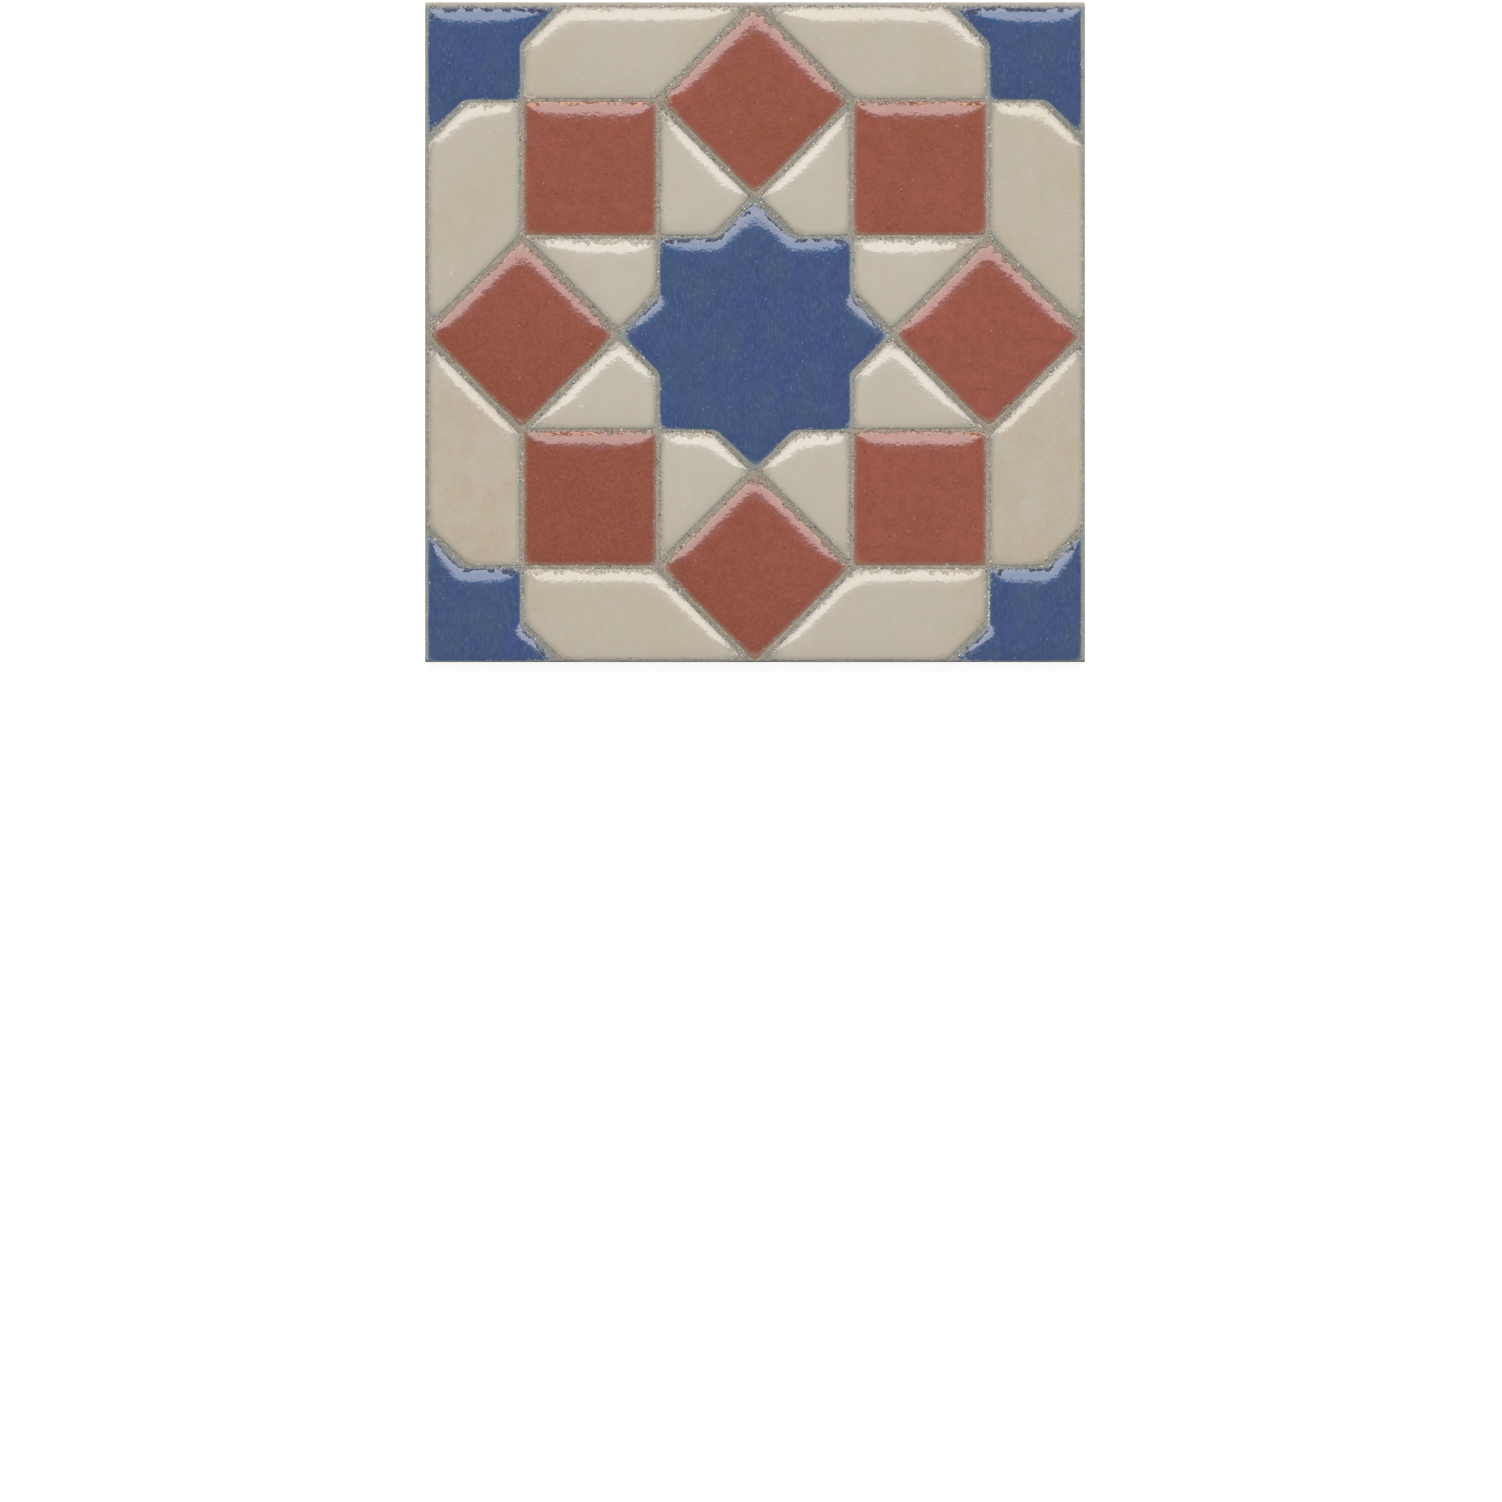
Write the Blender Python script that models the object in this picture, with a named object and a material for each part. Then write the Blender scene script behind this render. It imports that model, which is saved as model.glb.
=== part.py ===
"""Insert tile: one piece of fired clay, 6 in square and 3/8 in thick, lying face up.

The face is an eight-fold star pattern. Each shape is a raised pool of glaze with a rounded shoulder, and bare
resist lines part the pools. Clay and glaze are fired together, so the tile is one solid.
The origin is at the centre of the back, +Z points out of the face, and +Y points to the head of the pattern.
"""

import math

import bmesh
import bpy
from mathutils import Vector

MM = 0.001

# Driving dimensions
TILE_SIDE = 152.4 * MM
TILE_THICKNESS = 9.5 * MM
GLAZE_RISE = 0.9 * MM
ARRIS_RADIUS = 0.5 * MM
STRAIGHT_LINE_WIDTH = 1.3 * MM
DIAGONAL_LINE_WIDTH = 1.8 * MM
RIM_WIDTH = 1.0 * MM
PATTERN_DROP = 0.3 * MM  # the pattern sits this much nearer to the foot of the tile than to its head

# The shoulder of a pool, from its edge inwards: how far in, and the share of GLAZE_RISE reached there
SHOULDER = ((0.0, 0.0), (0.45 * MM, 0.46), (1.3 * MM, 0.82), (2.8 * MM, 1.0))
POOL_CORNER_RADIUS = 0.55 * MM
CORNER_RADIUS_GROWTH = 0.3  # a pool's corner grows this much rounder for each unit further in
CORNER_STEPS = 3
POOL_ROOT = 1.0 * MM  # how far a pool's glaze reaches into the clay before the two are fused
ARRIS_STEPS = 2

# The pattern follows from the tile: four squares and four diamonds of one side stand round a star
BODY_TOP = TILE_THICKNESS - GLAZE_RISE
HALF_SIDE = TILE_SIDE / 2
SQUARE_SIDE = TILE_SIDE / (2 * (1 + math.sqrt(2)))
HALF_DIAGONAL = SQUARE_SIDE / math.sqrt(2)
NOTCH = SQUARE_SIDE - HALF_DIAGONAL
SQUARE_END = HALF_DIAGONAL + SQUARE_SIDE

IVORY_GLAZE = ("ivory_glaze", (0.50, 0.45, 0.37), 0.12)


def turned(outline, quarter_turns):
    """The outline turned about the tile's centre."""
    for _ in range(quarter_turns):
        outline = [(-y, x) for x, y in outline]
    return outline


def mirrored(outline):
    """The outline mirrored across the line x = 0, still running anticlockwise."""
    return [(-x, y) for x, y in reversed(outline)]


def star_outline():
    """The eight-pointed star in the middle: two squares of one size, one turned by an eighth of a turn."""
    notch_radius = math.hypot(HALF_DIAGONAL, NOTCH)
    return [
        (radius * math.cos(step * math.pi / 8), radius * math.sin(step * math.pi / 8))
        for step in range(16)
        for radius in [notch_radius if step % 2 else SQUARE_SIDE]
    ]


def corner_star_outline():
    """A quarter of the same star, in the corner at +X +Y."""
    inwards = [
        (0, 0),
        (0, SQUARE_SIDE),
        (NOTCH, HALF_DIAGONAL),
        (HALF_DIAGONAL, HALF_DIAGONAL),
        (HALF_DIAGONAL, NOTCH),
        (SQUARE_SIDE, 0),
    ]
    return [(HALF_SIDE - x, HALF_SIDE - y) for x, y in reversed(inwards)]


def square_outline():
    """The square at +X +Y."""
    near, far = HALF_DIAGONAL, SQUARE_END
    return [(near, near), (far, near), (far, far), (near, far)]


def diamond_outline():
    """The diamond at +Y: the same square, turned by an eighth of a turn."""
    side_x = HALF_DIAGONAL
    return [(0, SQUARE_SIDE), (side_x, SQUARE_END), (0, HALF_SIDE), (-side_x, SQUARE_END)]


def kite_outline():
    """The kite between the star, the diamond at +Y and the square at +X +Y."""
    return [(NOTCH, HALF_DIAGONAL), (HALF_DIAGONAL, HALF_DIAGONAL), (HALF_DIAGONAL, SQUARE_END), (0, SQUARE_SIDE)]


def border_outline():
    """The five-sided shape at the head of the tile, between the diamond and the corner star at +X."""
    return [
        (HALF_DIAGONAL, SQUARE_END),
        (SQUARE_END, SQUARE_END),
        (SQUARE_END, HALF_SIDE - NOTCH),
        (HALF_SIDE - SQUARE_SIDE, HALF_SIDE),
        (0, HALF_SIDE),
    ]


def pool_outlines():
    """The centre lines round every pool, anticlockwise."""
    outlines = [star_outline()]
    for quarter in range(4):
        for outline in (corner_star_outline(), square_outline(), diamond_outline()):
            outlines.append(turned(outline, quarter))
        for outline in (kite_outline(), border_outline()):
            outlines.append(turned(outline, quarter))
            outlines.append(turned(mirrored(outline), quarter))
    return outlines


def edge_inset(start, end):
    """How far a pool's edge stands back from the centre line between two corners."""
    on_rim = any(
        abs(abs(start[axis]) - HALF_SIDE) < 0.01 * MM and abs(start[axis] - end[axis]) < 0.01 * MM for axis in (0, 1)
    )
    if on_rim:
        return RIM_WIDTH
    along = Vector(end) - Vector(start)
    straight = min(abs(along.x), abs(along.y)) < 0.01 * MM
    return (STRAIGHT_LINE_WIDTH if straight else DIAGONAL_LINE_WIDTH) / 2


def inset_corners(outline, further):
    """The outline's corners with every edge moved in by its own inset and by that much further."""
    corners = []
    count = len(outline)
    for index, corner in enumerate(outline):
        before, after = outline[index - 1], outline[(index + 1) % count]
        into = (Vector(corner) - Vector(before)).normalized()
        out = (Vector(after) - Vector(corner)).normalized()
        first = edge_inset(before, corner) + further
        second = edge_inset(corner, after) + further
        turn = into.x * out.y - into.y * out.x
        # The two moved edges meet at the corner plus a share of each edge's direction.
        corners.append(Vector(corner) + (out * first - into * second) / turn)
    return corners


def rounded(corners, radius):
    """The corners as arcs of one radius, each of CORNER_STEPS straight steps."""
    points = []
    count = len(corners)
    for index, corner in enumerate(corners):
        back = (corners[index - 1] - corner).normalized()
        ahead = (corners[(index + 1) % count] - corner).normalized()
        half_angle = back.angle(ahead) / 2
        centre = corner + (back + ahead).normalized() * (radius / math.sin(half_angle))
        start = corner + back * (radius / math.tan(half_angle)) - centre
        sweep = math.pi - 2 * half_angle
        if back.x * ahead.y - back.y * ahead.x > 0:
            sweep = -sweep
        for step in range(CORNER_STEPS + 1):
            angle = sweep * step / CORNER_STEPS
            cosine, sine = math.cos(angle), math.sin(angle)
            arm = Vector((start.x * cosine - start.y * sine, start.x * sine + start.y * cosine))
            points.append(centre + arm)
    return points


def add_ring(mesh, outline, further, height):
    """One level ring of a pool."""
    radius = POOL_CORNER_RADIUS + CORNER_RADIUS_GROWTH * further
    points = rounded(inset_corners(outline, further), radius)
    return [mesh.verts.new((point.x, point.y - PATTERN_DROP, height)) for point in points]


def add_pool(mesh, outline):
    """A pool of glaze as a closed shape: a root in the clay, a rounded shoulder and a level top."""
    rings = [add_ring(mesh, outline, 0.0, BODY_TOP - POOL_ROOT)]
    for further, share in SHOULDER:
        rings.append(add_ring(mesh, outline, further, BODY_TOP + share * GLAZE_RISE))
    for lower, upper in zip(rings, rings[1:]):
        count = len(lower)
        for index in range(count):
            following = (index + 1) % count
            mesh.faces.new((lower[index], lower[following], upper[following], upper[index]))
    mesh.faces.new(rings[-1])
    mesh.faces.new(reversed(rings[0]))


def object_from(mesh, name):
    """The mesh as a named object in the scene."""
    data = bpy.data.meshes.new(name)
    mesh.to_mesh(data)
    mesh.free()
    made = bpy.data.objects.new(name, data)
    bpy.context.scene.collection.objects.link(made)
    return made


def make_clay_body():
    """The clay slab under the glaze, with a small round along its twelve edges."""
    mesh = bmesh.new()
    bmesh.ops.create_cube(mesh, size=1.0)
    bmesh.ops.scale(mesh, vec=(TILE_SIDE, TILE_SIDE, BODY_TOP), verts=mesh.verts)
    bmesh.ops.translate(mesh, vec=(0, 0, BODY_TOP / 2), verts=mesh.verts)
    bmesh.ops.bevel(mesh, geom=mesh.edges[:], offset=ARRIS_RADIUS, segments=ARRIS_STEPS, profile=0.5, affect="EDGES")
    return object_from(mesh, "insert_tile")


def make_pools():
    """All the pools of glaze in one helper, which is fused to the clay."""
    mesh = bmesh.new()
    for outline in pool_outlines():
        add_pool(mesh, outline)
    bmesh.ops.recalc_face_normals(mesh, faces=mesh.faces)
    pools = object_from(mesh, "glaze_pools")
    pools.hide_render = True
    pools.display_type = "WIRE"
    return pools


def glaze_material(name, colour, roughness):
    material = bpy.data.materials.new(name)
    material.use_nodes = True
    shader = material.node_tree.nodes["Principled BSDF"]
    shader.inputs["Base Color"].default_value = (*colour, 1.0)
    shader.inputs["Roughness"].default_value = roughness
    shader.inputs["Metallic"].default_value = 0.0
    return material


def main():
    for old in list(bpy.data.objects):
        bpy.data.objects.remove(old, do_unlink=True)
    tile = make_clay_body()
    tile.data.materials.append(glaze_material(*IVORY_GLAZE))
    fused = tile.modifiers.new("glaze fused to clay", "BOOLEAN")
    fused.operation = "UNION"
    fused.object = make_pools()


main()
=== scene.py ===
"""Looks of the insert tile: fired clay with raised pools of glossy glaze, seen from straight above.

Lengths are in millimetres until a mesh is made, and the frame's metres from there on. +Y is the head of the
pattern, +Z points out of the face, and the origin is at the centre of the back.
"""

import math
from dataclasses import dataclass
from functools import partial

import bmesh
import bpy
import numpy as np
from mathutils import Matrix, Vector, noise
from mathutils.geometry import delaunay_2d_cdt


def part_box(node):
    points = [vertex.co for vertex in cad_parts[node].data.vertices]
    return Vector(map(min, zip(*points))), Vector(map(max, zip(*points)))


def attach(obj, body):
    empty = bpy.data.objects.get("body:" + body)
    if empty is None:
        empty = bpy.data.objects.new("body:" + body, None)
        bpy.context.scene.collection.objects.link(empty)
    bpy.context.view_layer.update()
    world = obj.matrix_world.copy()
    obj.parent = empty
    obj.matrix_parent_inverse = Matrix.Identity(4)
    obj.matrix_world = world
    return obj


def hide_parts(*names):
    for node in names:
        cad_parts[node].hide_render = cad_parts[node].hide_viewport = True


MM = 0.001

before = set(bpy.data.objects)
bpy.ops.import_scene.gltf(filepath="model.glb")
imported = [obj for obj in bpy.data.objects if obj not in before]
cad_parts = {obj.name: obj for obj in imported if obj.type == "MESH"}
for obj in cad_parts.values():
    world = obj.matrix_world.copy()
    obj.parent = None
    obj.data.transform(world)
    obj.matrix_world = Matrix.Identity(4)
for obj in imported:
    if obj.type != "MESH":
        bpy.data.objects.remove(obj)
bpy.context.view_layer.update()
tile_low, tile_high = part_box("insert_tile")

# Sizes of the fired body
TILE_SIDE = (tile_high.x - tile_low.x) / MM
TILE_TOP = (tile_high.z - tile_low.z) / MM
GLAZE_RISE = 0.9
BODY_TOP = TILE_TOP - GLAZE_RISE
HALF_SIDE = TILE_SIDE / 2
PATTERN_DROP = 0.3
ARRIS_RADIUS = 0.08
UPRIGHT_CORNER_RADIUS = 0.3

# The pattern's own proportions
SQUARE_SIDE = TILE_SIDE / (2 * (1 + math.sqrt(2)))
HALF_DIAGONAL = SQUARE_SIDE / math.sqrt(2)
NOTCH = SQUARE_SIDE - HALF_DIAGONAL
SQUARE_END = HALF_DIAGONAL + SQUARE_SIDE

# How a pool of molten glaze stands; depth grows inwards, and the rounded outline lies at EDGE_DEPTH
EDGE_DEPTH = 0.06
FLOW_STEP = 0.1
LIP_RISE = 0.1
LIP_WIDTH = 0.04
NOTCH_RADIUS = 3.0
SHOULDER_DEPTHS = (0.0, 0.04, 0.1, 0.22, 0.4, 0.65, 1.0, 1.5, 2.1, 2.8, 3.6, 4.5)
OUTLINE_SPACING = 0.26
FIELD_SPACING = 1.1
FIELD_MARGIN = 0.45
POOL_ROOT = 0.4
WELD_DISTANCE = 0.003
TOUCHING = 0.01

# The ivory along the rims ends bluntly beside the diamonds, and tips of diamonds and stars are a little blunt
TIP_CUT = 3.0
TIP_BLUNTING = 0.2
HEAD_TIP_BLUNTING = 0.75

# Bare clay between the pools
BED_SPACING = 0.3
BED_DROP = 0.06
BED_UNDER_GLAZE = 0.5
BARE_FADE = 0.1
# Towards the head rim the grey fades to paler clay, partly a painted highlight of the lamp-facing head edge;
# along the foot rim the clay is painted dark, a painted shadow of the foot edge.
HEAD_RIM_FADE = 1.3
FOOT_SHADOW_WIDTH = 0.5
FUME_REACH = 0.7
HIDDEN_SPACING = 4.0
HIDDEN_DEPTH = 1.2
FAR_FROM_GLAZE = 9.0
UNGLAZED_BELOW_FACE = 1.6

# Grit and beads keep off the rims; their sizes are how many to a square millimetre and the range of radius
CRUMBLE_REACH = 0.3
GRIT_MARGIN = 0.75
GRIT_SIZES = (8.0, 0.09, 0.25)
BEAD_MARGIN = 0.6
BEAD_SIZES = (7.0, 0.07, 0.19)
FULL_TURN = 6.3
# Two chains of pale beads along upright edges, partly painted glints.
GLINT_BEAD_CHAINS = ((53.6, -63.5, 6.5), (-75.6, -64.0, 5.0))


@dataclass
class Glaze:
    """How one glaze stands and where it frays; the crust is the thin dull glaze along its edges."""

    name: str
    rise: float
    reach: float
    blend: float
    insets: dict
    side_crust: float
    head_crust: float
    right_crust: float = 0.0


# The insets are how far a pool's edge stands back from the middle of the bare line, by the way that it faces,
# and along the rims from the tile's own edge. The glazes ran towards the foot as they were fired.
IVORY = Glaze(
    "ivory", rise=0.72, reach=2.3, blend=1.4, side_crust=0.1, head_crust=0.9,
    insets={
        "head": 0.52, "side": 0.52, "foot": 0.25, "diagonal head": 1.0, "diagonal foot": 0.66,
        "head rim": 0.86, "left rim": 0.8, "right rim": 0.55, "foot rim": 0.72,
    },
)
TERRACOTTA = Glaze(
    "terracotta", rise=0.675, reach=2.6, blend=1.2, side_crust=0.06, head_crust=0.4, right_crust=0.35,
    insets={"head": 0.27, "side": 0.57, "foot": 0.38, "diagonal head": 0.66, "diagonal foot": 0.44},
)
COBALT = Glaze(
    "blue", rise=0.775, reach=2.1, blend=2.0, side_crust=-0.25, head_crust=0.35,
    insets={
        "head": 0.28, "side": 0.35, "foot": 0.08, "diagonal head": 0.78, "diagonal foot": 0.32,
        "head rim": 0.9, "left rim": 0.68, "right rim": 0.86, "foot rim": 0.5,
    },
)
STAR_FULLNESS = 0.83
BORDER_FULLNESS = 0.93
EDGE_FRAY = 0.11
EDGE_WOBBLE = 0.12


# Pattern

def turned(outline, quarter_turns):
    for _ in range(quarter_turns):
        outline = [(-y, x) for x, y in outline]
    return outline


def mirrored(outline):
    return [(-x, y) for x, y in reversed(outline)]


def moved_to(outline, centre):
    return [(x + centre[0], y + centre[1]) for x, y in outline]


def diamond(reach):
    return [(reach, 0), (0, reach), (-reach, 0), (0, -reach)]


def blunt_diamond(reach):
    """The diamond with its tips cut off a little, most at the head, so that glaze stands rounder in them."""
    cut, far = TIP_BLUNTING, reach - TIP_BLUNTING
    head_cut, head = HEAD_TIP_BLUNTING, reach - HEAD_TIP_BLUNTING
    return [
        (far, -cut), (far, cut), (head_cut, head), (-head_cut, head),
        (-far, cut), (-far, -cut), (-cut, -far), (cut, -far),
    ]


def box_outline(low_x, low_y, high_x, high_y):
    return [(low_x, low_y), (high_x, low_y), (high_x, high_y), (low_x, high_y)]


def star_outline():
    notch_radius = math.hypot(HALF_DIAGONAL, NOTCH)
    return [
        (radius * math.cos(step * math.pi / 8), radius * math.sin(step * math.pi / 8))
        for step in range(16)
        for radius in [notch_radius if step % 2 else SQUARE_SIDE]
    ]


def corner_star_outline():
    inwards = [
        (0, 0),
        (0, SQUARE_SIDE),
        (NOTCH, HALF_DIAGONAL),
        (HALF_DIAGONAL, HALF_DIAGONAL),
        (HALF_DIAGONAL, NOTCH),
        (SQUARE_SIDE, 0),
    ]
    return [(HALF_SIDE - x, HALF_SIDE - y) for x, y in reversed(inwards)]


class Pool:
    """One pool of glaze: its outline on the centre lines, and the convex shapes that it is the sum of."""

    def __init__(self, glaze, outline, parts=None, fullness=1.0):
        self.glaze = glaze
        self.fullness = fullness
        self.outline = outline
        self.parts = parts or [outline]
        self.edges = [part_edges(part, glaze, on_rim=False) for part in self.parts]
        self.rim_edges = part_edges(outline, glaze, on_rim=True)

    def changed(self, change):
        """The same pool with a change made to its outline and its parts."""
        return Pool(self.glaze, change(self.outline), [change(part) for part in self.parts], self.fullness)

    def depth(self, points):
        """How far in from the outline points lie; contours of it round the corners as molten glaze does."""
        blend = self.glaze.blend
        depths = [soft_least(edge_depths(points, edges), blend) for edges in self.edges]
        joined = depths[0] if len(depths) == 1 else round_the_notches(*depths)
        if not self.rim_edges:
            return joined
        return soft_least(np.vstack([joined, edge_depths(points, self.rim_edges)]), blend)


def rim_name(start, end):
    """The rim of the tile that an edge lies along, or None."""
    for axis, low_rim, high_rim in ((0, "left rim", "right rim"), (1, "foot rim", "head rim")):
        if abs(start[axis] - end[axis]) < TOUCHING and abs(abs(start[axis]) - HALF_SIDE) < TOUCHING:
            return high_rim if start[axis] > 0 else low_rim
    return None


def edge_inset(start, end, inward, glaze):
    """How far a pool's edge stands back from the middle of the line between two corners."""
    rim = rim_name(start, end)
    if rim:
        return glaze.insets[rim]
    if abs(inward[1]) < 0.1:
        return glaze.insets["side"]
    facing = "foot" if inward[1] > 0 else "head"
    return glaze.insets[facing if abs(inward[1]) > 0.9 else "diagonal " + facing]


def part_edges(part, glaze, on_rim=None):
    """A corner, the inward normal and the inset of each edge of a shape, or of those on or off a rim."""
    edges = []
    for index, start in enumerate(part):
        end = part[(index + 1) % len(part)]
        if on_rim is not None and on_rim != bool(rim_name(start, end)):
            continue
        along = np.subtract(end, start) / math.dist(start, end)
        inward = np.array((-along[1], along[0]))
        edges.append((np.array(start), inward, edge_inset(start, end, inward, glaze)))
    return edges


def edge_depths(points, edges):
    """How far in from each edge points lie, one row for each edge."""
    return np.array([(points - corner) @ inward - inset + EDGE_DEPTH for corner, inward, inset in edges])


def soft_least(depths, blend):
    """The least of several depths, eased where two of them are about the same."""
    share = np.prod(1 - np.exp(-np.maximum(depths, 0) / blend), axis=0)
    nearest = depths.min(axis=0)
    return np.where(nearest > 0, -blend * np.log(np.maximum(1 - share, 1e-9)), nearest)


def round_the_notches(first, second):
    """The depth in two joined shapes; at their notches, which turn by an eighth, it follows an arc."""
    first, second = first + NOTCH_RADIUS, second + NOTCH_RADIUS
    eighth = math.sqrt(0.5)
    beside = (first > 0) & (second > 0) & (first * eighth <= second) & (second * eighth <= first)
    apart = first ** 2 + second ** 2 - 2 * eighth * first * second
    from_notch = np.sqrt(np.maximum(apart, 0)) / eighth
    return np.where(beside, from_notch, np.maximum(first, second)) - NOTCH_RADIUS


def all_pools():
    star_parts = [
        box_outline(-HALF_DIAGONAL, -HALF_DIAGONAL, HALF_DIAGONAL, HALF_DIAGONAL),
        blunt_diamond(SQUARE_SIDE),
    ]
    inner = HALF_SIDE - HALF_DIAGONAL
    corner_parts = [
        box_outline(inner, inner, HALF_SIDE, HALF_SIDE),
        [(HALF_SIDE, HALF_SIDE - SQUARE_SIDE), (HALF_SIDE, HALF_SIDE), (HALF_SIDE - SQUARE_SIDE, HALF_SIDE)],
    ]
    kite = Pool(IVORY, [
        (NOTCH, HALF_DIAGONAL), (HALF_DIAGONAL, HALF_DIAGONAL), (HALF_DIAGONAL, SQUARE_END), (0, SQUARE_SIDE),
    ])
    border_outline = [
        (HALF_DIAGONAL, SQUARE_END),
        (SQUARE_END, SQUARE_END),
        (SQUARE_END, HALF_SIDE - NOTCH),
        (HALF_SIDE - SQUARE_SIDE, HALF_SIDE),
        (TIP_CUT, HALF_SIDE),
        (TIP_CUT, HALF_SIDE - TIP_CUT),
    ]
    border = Pool(IVORY, border_outline, fullness=BORDER_FULLNESS)
    square = Pool(TERRACOTTA, box_outline(HALF_DIAGONAL, HALF_DIAGONAL, SQUARE_END, SQUARE_END))
    red_diamond = Pool(TERRACOTTA, diamond(HALF_DIAGONAL), [blunt_diamond(HALF_DIAGONAL)])
    corner_star = Pool(COBALT, corner_star_outline(), corner_parts)
    pools = [Pool(COBALT, star_outline(), star_parts, STAR_FULLNESS)]
    for quarter in range(4):
        turn = partial(turned, quarter_turns=quarter)
        # Each diamond is moved to its place instead, so that its bluntest tip stays towards the head.
        place = partial(moved_to, centre=turn([(0, SQUARE_END)])[0])
        pools += [corner_star.changed(turn), square.changed(turn), red_diamond.changed(place)]
        for ivory in (kite, kite.changed(mirrored), border, border.changed(mirrored)):
            pools.append(ivory.changed(turn))
    return pools


# Relief

def wander(points, size, seed):
    """Smooth random values from about -1 to 1 that change over the given size."""
    return np.array([noise.noise(Vector((x / size, y / size, seed))) for x, y in points])


def inward_pull(points, pool):
    """The slope of the pool's depth at points."""
    reach = 0.02
    east = pool.depth(points + (reach, 0)) - pool.depth(points - (reach, 0))
    north = pool.depth(points + (0, reach)) - pool.depth(points - (0, reach))
    return np.stack([east, north], 1) / (2 * reach)


def move_to_depth(points, pool, depth, rounds, longest=0.15):
    for _ in range(rounds):
        pull = inward_pull(points, pool)
        steepness = np.maximum((pull ** 2).sum(1), 0.02)
        move = pull * ((depth - pool.depth(points)) / steepness)[:, None]
        length = np.maximum(np.hypot(*move.T), 1e-9)
        points = points + move * np.minimum(1, longest / length)[:, None]
    return points


def inset_corners(pool):
    corners = []
    edges = part_edges(pool.outline, pool.glaze)
    for (corner, inward, inset), (_, inward_before, inset_before) in zip(edges, edges[-1:] + edges[:-1]):
        sides = np.array([inward, inward_before])
        corners.append(corner + np.linalg.solve(sides, np.array([inset, inset_before])))
    return np.array(corners)


def evenly_spaced(ring, spacing):
    closed = np.vstack([ring, ring[:1]])
    travelled = np.r_[0, np.cumsum(np.hypot(*np.diff(closed, axis=0).T))]
    wanted = np.linspace(0, travelled[-1], round(travelled[-1] / spacing), endpoint=False)
    return np.stack([np.interp(wanted, travelled, closed[:, axis]) for axis in (0, 1)], 1)


def pool_edge(pool):
    """Points along the pool's rounded outline."""
    rough = evenly_spaced(inset_corners(pool), OUTLINE_SPACING)
    ring = move_to_depth(rough, pool, EDGE_DEPTH, rounds=25)
    return move_to_depth(evenly_spaced(ring, OUTLINE_SPACING), pool, EDGE_DEPTH, rounds=6)


def flow_table(ring, pool, last_depth):
    """Where each point of the outline comes to as it moves inwards, one row for each FLOW_STEP of depth."""
    rows = [ring]
    for step in range(1, math.ceil((last_depth - EDGE_DEPTH) / FLOW_STEP) + 2):
        rows.append(move_to_depth(rows[-1], pool, EDGE_DEPTH + step * FLOW_STEP, rounds=2, longest=0.4))
    return np.stack(rows)


def along_flow(table, depths):
    place = (depths - EDGE_DEPTH) / FLOW_STEP
    lower = np.clip(np.floor(place), 0, len(table) - 2).astype(int)
    share = (place - lower)[:, None]
    column = np.arange(table.shape[1])
    return table[lower, column] * (1 - share) + table[lower + 1, column] * share


def glaze_height(pool, depth_in):
    """The rise of the glaze over the clay, from the steep lip at its edge to the level field."""
    lip = LIP_RISE * (1 - np.exp(-depth_in / LIP_WIDTH))
    return lip + pool.fullness * pool.glaze.rise * (1 - np.exp(-depth_in / pool.glaze.reach))


def field_swell(points, glaze):
    """The slow unevenness that a brushed and fired glaze keeps."""
    return 0.03 * wander(points, 16.0, glaze.reach) + 0.006 * wander(points, 3.5, 5 + glaze.reach)


def fill_inside(ring, inner):
    """Triangles inside a ring, over its own points and the inner ones."""
    points = [Vector(point) for point in np.vstack([ring, inner])]
    outline = list(range(len(ring)))
    _, _, faces, sources, _, _ = delaunay_2d_cdt(points, [], [outline], 1, 1e-6)
    known = [face for face in faces if all(sources[corner] for corner in face)]
    return [[sources[corner][0] for corner in face] for face in known]


def grid_points(low, high, spacing):
    """Points on a triangular grid in a box."""
    rows = np.arange(low[1], high[1], spacing * math.sqrt(3) / 2)
    columns = np.arange(low[0], high[0], spacing)
    shifts = [spacing / 2 if index % 2 else 0 for index in range(len(rows))]
    return np.array([(x + shift, y) for y, shift in zip(rows, shifts) for x in columns])


def facing_head(ring, pool):
    """One where the pool's edge faces the head of the tile, nought where it faces a side or the foot."""
    pull = inward_pull(ring, pool)
    return np.maximum(-pull[:, 1] / np.hypot(*pull.T), 0)


def outline_shift(points, depth_in, headward):
    """How far the hand-laid outline strays from the true one; the field inside no longer shows it."""
    fray = EDGE_FRAY * (0.2 + 1.3 * headward) * (wander(points, 0.5, 1.0) + 0.9 * wander(points, 1.3, 2.0))
    wobble = EDGE_WOBBLE * wander(points, 6.0, 3.0)
    return fray * math.exp(-depth_in / 0.5) + wobble * (1 - depth_in / SHOULDER_DEPTHS[-1])


def crust_width(ring, glaze, headward):
    """How wide the dull crust is along the outline: widest where it faces the head, less at the head rim."""
    at_rim = HALF_SIDE - ring[:, 1] < 1.5
    head_crust = np.where(at_rim, 0.5, 1.0) * glaze.head_crust
    width = glaze.side_crust + (head_crust - glaze.side_crust) * headward ** 5
    along = np.roll(ring, -1, axis=0) - np.roll(ring, 1, axis=0)
    rightward = np.maximum(along[:, 1] / np.maximum(np.hypot(*along.T), 1e-9), 0)
    width = width + glaze.right_crust * (2 * headward * rightward) ** 3
    return width * (1 + 1.1 * wander(ring, 2.2, 11.0) + 0.6 * wander(ring, 0.8, 12.0))


def band(lower, upper, count):
    """The faces between two rings of count points, the one numbered from lower and the other from upper."""
    pairs = [(index, (index + 1) % count) for index in range(count)]
    return [(lower + here, lower + following, upper + following, upper + here) for here, following in pairs]


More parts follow.
